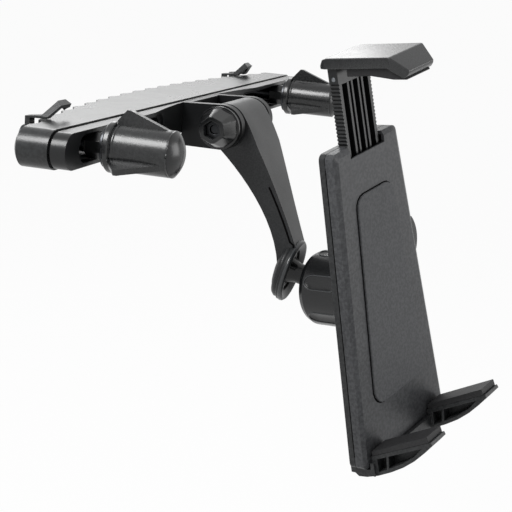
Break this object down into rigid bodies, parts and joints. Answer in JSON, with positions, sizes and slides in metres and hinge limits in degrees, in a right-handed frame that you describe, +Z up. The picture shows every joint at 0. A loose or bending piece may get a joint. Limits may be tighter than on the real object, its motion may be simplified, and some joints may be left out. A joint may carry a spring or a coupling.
{
  "type": "headrest tablet mount",
  "caption": "Dark plastic tablet holder on a jointed arm, hung from a slotted bar that clamps across the two posts of a car seat's headrest",
  "frame": {"origin": "middle of the bar, between its front plate and its rear channel", "axes": "+X along the bar, +Y towards the seat, +Z up"},
  "size_m": [0.2936, 0.1766, 0.1916],
  "materials": {
    "channel_plastic": "fine grain",
    "plate_plastic": "fine grain",
    "knob_plastic": "fine grain",
    "bracket_plastic": "fine grain",
    "arm_plastic": "fine grain",
    "ball_plastic": "smooth",
    "ring_plastic": "fine grain",
    "shell_plastic": "fine grain",
    "button_plastic": "semi gloss",
    "pad_rubber": "fine texture",
    "liner_rubber": "matt",
    "zinc_steel": "zinc plated",
    "steel_pin": "ground"
  },
  "bodies": {
    "bar": {"rear_channel": "channel_plastic", "front_plate": "plate_plastic", "bar_screws": "zinc_steel", "pivot_bracket": "bracket_plastic", "bracket_screws": "zinc_steel", "pivot_bolt": "zinc_steel", "friction_washers": "liner_rubber"},
    "left_carriage": {"left_guide_block": "plate_plastic", "left_washer": "zinc_steel"},
    "left_clamp": {"left_claw": "channel_plastic", "left_claw_pad": "liner_rubber", "left_clamp_bolt": "zinc_steel"},
    "left_knob_set": {"left_knob": "knob_plastic", "left_knob_nut": "zinc_steel", "left_knob_cap": "knob_plastic"},
    "right_carriage": {"right_guide_block": "plate_plastic", "right_washer": "zinc_steel"},
    "right_clamp": {"right_claw": "channel_plastic", "right_claw_pad": "liner_rubber", "right_clamp_bolt": "zinc_steel"},
    "right_knob_set": {"right_knob": "knob_plastic", "right_knob_nut": "zinc_steel", "right_knob_cap": "knob_plastic"},
    "pivot_cap_set": {"pivot_cap": "knob_plastic", "pivot_nut": "zinc_steel"},
    "arm_set": {"arm": "arm_plastic", "ball_stud": "ball_plastic", "stud_screw": "zinc_steel"},
    "ball_liner_ring": {"ball_liner": "liner_rubber"},
    "ball_collet_ring": {"ball_collet": "ball_plastic"},
    "holder": {"socket": "ring_plastic", "back_shell": "shell_plastic", "front_shell": "shell_plastic", "shell_screws": "zinc_steel", "face_pad": "pad_rubber", "bottom_jaw": "shell_plastic", "jaw_screws": "zinc_steel", "left_foot_pad": "liner_rubber", "right_foot_pad": "liner_rubber", "pawl_pin": "steel_pin"},
    "ring": {"lock_ring": "ring_plastic"},
    "slider": {"slider_rack": "plate_plastic", "top_jaw": "shell_plastic", "top_jaw_liner": "liner_rubber", "jaw_pin": "steel_pin"},
    "release": {"release_button": "button_plastic", "release_spring": "steel_pin"},
    "pawl_lever": {"pawl": "shell_plastic"}
  },
  "joints": [
    {"name": "left_carriage_slide", "type": "slide", "parent": "bar", "child": "left_carriage", "axis": [1, 0, 0], "range_m": [-0.0096, 0.01]},
    {"name": "right_carriage_slide", "type": "slide", "parent": "bar", "child": "right_carriage", "axis": [1, 0, 0], "range_m": [-0.0185, 0.0241]},
    {"name": "left_knob_turn", "type": "hinge", "parent": "left_carriage", "child": "left_knob_set", "pos_m": [-0.119, -0.0116, 0], "axis": [0, 1, 0], "range_deg": [0, 2520]},
    {"name": "left_clamp_slide", "type": "slide", "parent": "left_carriage", "child": "left_clamp", "axis": [0, 1, 0], "range_m": [0, 0.014]},
    {"name": "right_knob_turn", "type": "hinge", "parent": "right_carriage", "child": "right_knob_set", "pos_m": [0.1045, -0.0116, 0], "axis": [0, 1, 0], "range_deg": [0, 2520]},
    {"name": "right_clamp_slide", "type": "slide", "parent": "right_carriage", "child": "right_clamp", "axis": [0, 1, 0], "range_m": [0, 0.014]},
    {"name": "cap_turn", "type": "hinge", "parent": "bar", "child": "pivot_cap_set", "pos_m": [-0.03, -0.0196, -0.0024], "axis": [1, 0, 0], "range_deg": [-180, 180]},
    {"name": "arm_swing", "type": "hinge", "parent": "bar", "child": "arm_set", "pos_m": [0, -0.0196, -0.0024], "axis": [1, 0, 0], "range_deg": [-50, 25]},
    {"name": "ball_nod", "type": "hinge", "parent": "arm_set", "child": "ball_liner_ring", "pos_m": [0, -0.07298, -0.07179], "axis": [0.9233, -0.3185, 0.2148], "range_deg": [-1, 45]},
    {"name": "ball_pan", "type": "hinge", "parent": "ball_liner_ring", "child": "ball_collet_ring", "pos_m": [0, -0.07298, -0.07179], "axis": [-0.1601, 0.1891, 0.9688], "range_deg": [-2, 35]},
    {"name": "holder_turn", "type": "hinge", "parent": "ball_collet_ring", "child": "holder", "pos_m": [0, -0.07298, -0.07179], "axis": [-0.3491, -0.9289, 0.1236], "range_deg": [-100, 100]},
    {"name": "ring_turn", "type": "hinge", "parent": "holder", "child": "ring", "pos_m": [0, -0.07298, -0.07179], "axis": [-0.3491, -0.9289, 0.1236], "range_deg": [0, 60]},
    {"name": "jaw_slide", "type": "slide", "parent": "holder", "child": "slider", "axis": [-0.1601, 0.1891, 0.9688], "range_m": [-0.031, 0.03]},
    {"name": "release_press", "type": "slide", "parent": "holder", "child": "release", "axis": [-0.9233, 0.3185, -0.2148], "range_m": [0, 0.0022], "stiffness_N_per_m": 500, "springref_m": -0.001},
    {"name": "pawl_rock", "type": "hinge", "parent": "holder", "child": "pawl_lever", "pos_m": [0.00248, -0.09446, -0.03932], "axis": [0.3491, 0.9289, -0.1236], "range_deg": [0, 14]}
  ],
  "couplings": [
    {"joint": "left_knob_turn", "follows": "left_clamp_slide", "rad_per_m": 3141.6},
    {"joint": "right_knob_turn", "follows": "right_clamp_slide", "rad_per_m": 3141.6},
    {"joint": "pawl_rock", "follows": "release_press", "rad_per_m": 110}
  ]
}
